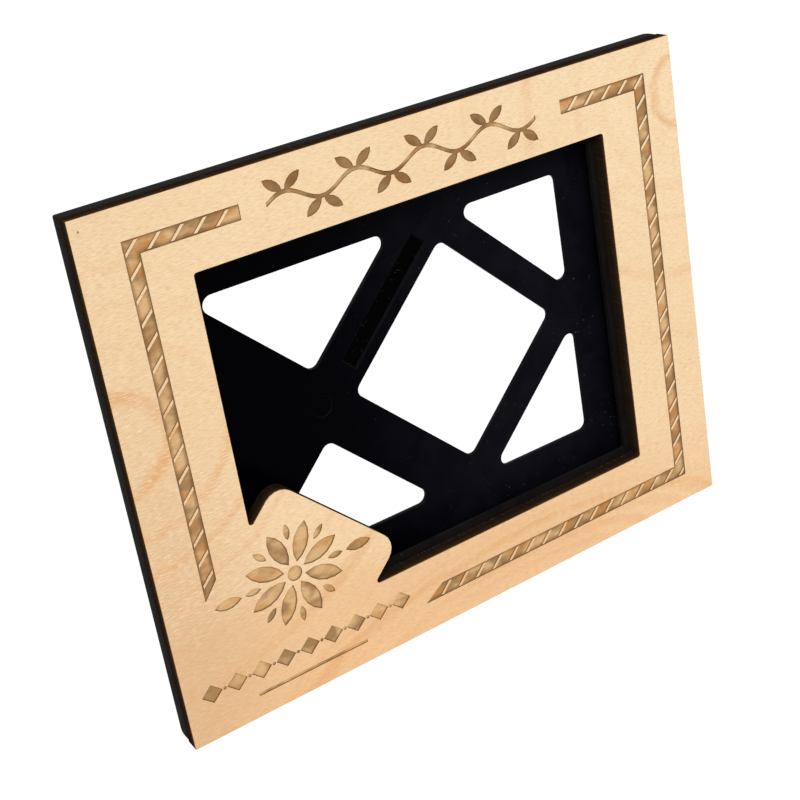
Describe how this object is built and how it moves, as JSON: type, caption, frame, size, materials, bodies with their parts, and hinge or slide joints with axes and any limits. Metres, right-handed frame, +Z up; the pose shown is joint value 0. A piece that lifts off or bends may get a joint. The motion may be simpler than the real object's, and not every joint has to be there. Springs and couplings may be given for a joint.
{
  "type": "easel photo frame",
  "caption": "Tabletop photo frame with an engraved wooden board on a black moulded body, a lattice back panel held by turn-buttons, and a folding easel leg.",
  "frame": {"origin": "middle of the bottom of the whole frame's box, on the surface that the board's lower edge stands on", "axes": "+X to the right seen from the front, +Y backwards (the board faces -Y), +Z up"},
  "size_m": [0.254, 0.0222, 0.2032],
  "materials": {
    "maple": "bare sanded maple veneer, laser-engraved",
    "black_plastic": "moulded, slightly glossy",
    "leg_plastic": "moulded, satin",
    "zinc_steel": "zinc-plated",
    "tape": "foam adhesive tape"
  },
  "bodies": {
    "frame": {"front_board": "maple", "tape_left": "tape", "tape_right": "tape", "tape_bottom": "tape", "tape_top": "tape", "body_frame": "black_plastic", "back_panel": "black_plastic", "leg_bracket": "leg_plastic", "hinge_pin": "zinc_steel", "button_screw_left": "zinc_steel", "button_screw_right": "zinc_steel", "button_screw_top": "zinc_steel", "button_screw_bottom": "zinc_steel"},
    "leg": {"easel_leg": "leg_plastic"},
    "button_left": {"turn_button_left": "leg_plastic"},
    "button_right": {"turn_button_right": "leg_plastic"},
    "button_top": {"turn_button_top": "leg_plastic"},
    "button_bottom": {"turn_button_bottom": "leg_plastic"}
  },
  "joints": [
    {"name": "leg_hinge", "type": "hinge", "parent": "frame", "child": "leg", "pos_m": [-0.04514, 0.00835, 0.1016], "axis": [0.7071, 0, 0.7071], "range_deg": [0, 30]},
    {"name": "button_turn_left", "type": "hinge", "parent": "frame", "child": "button_left", "pos_m": [-0.1103, 0.00585, 0.1016], "axis": [0, 1, 0], "continuous": true},
    {"name": "button_turn_right", "type": "hinge", "parent": "frame", "child": "button_right", "pos_m": [0.1103, 0.00585, 0.1016], "axis": [0, 1, 0], "continuous": true},
    {"name": "button_turn_top", "type": "hinge", "parent": "frame", "child": "button_top", "pos_m": [0, 0.00585, 0.1864], "axis": [0, 1, 0], "continuous": true},
    {"name": "button_turn_bottom", "type": "hinge", "parent": "frame", "child": "button_bottom", "pos_m": [-0.03, 0.00585, 0.0168], "axis": [0, 1, 0], "continuous": true}
  ]
}
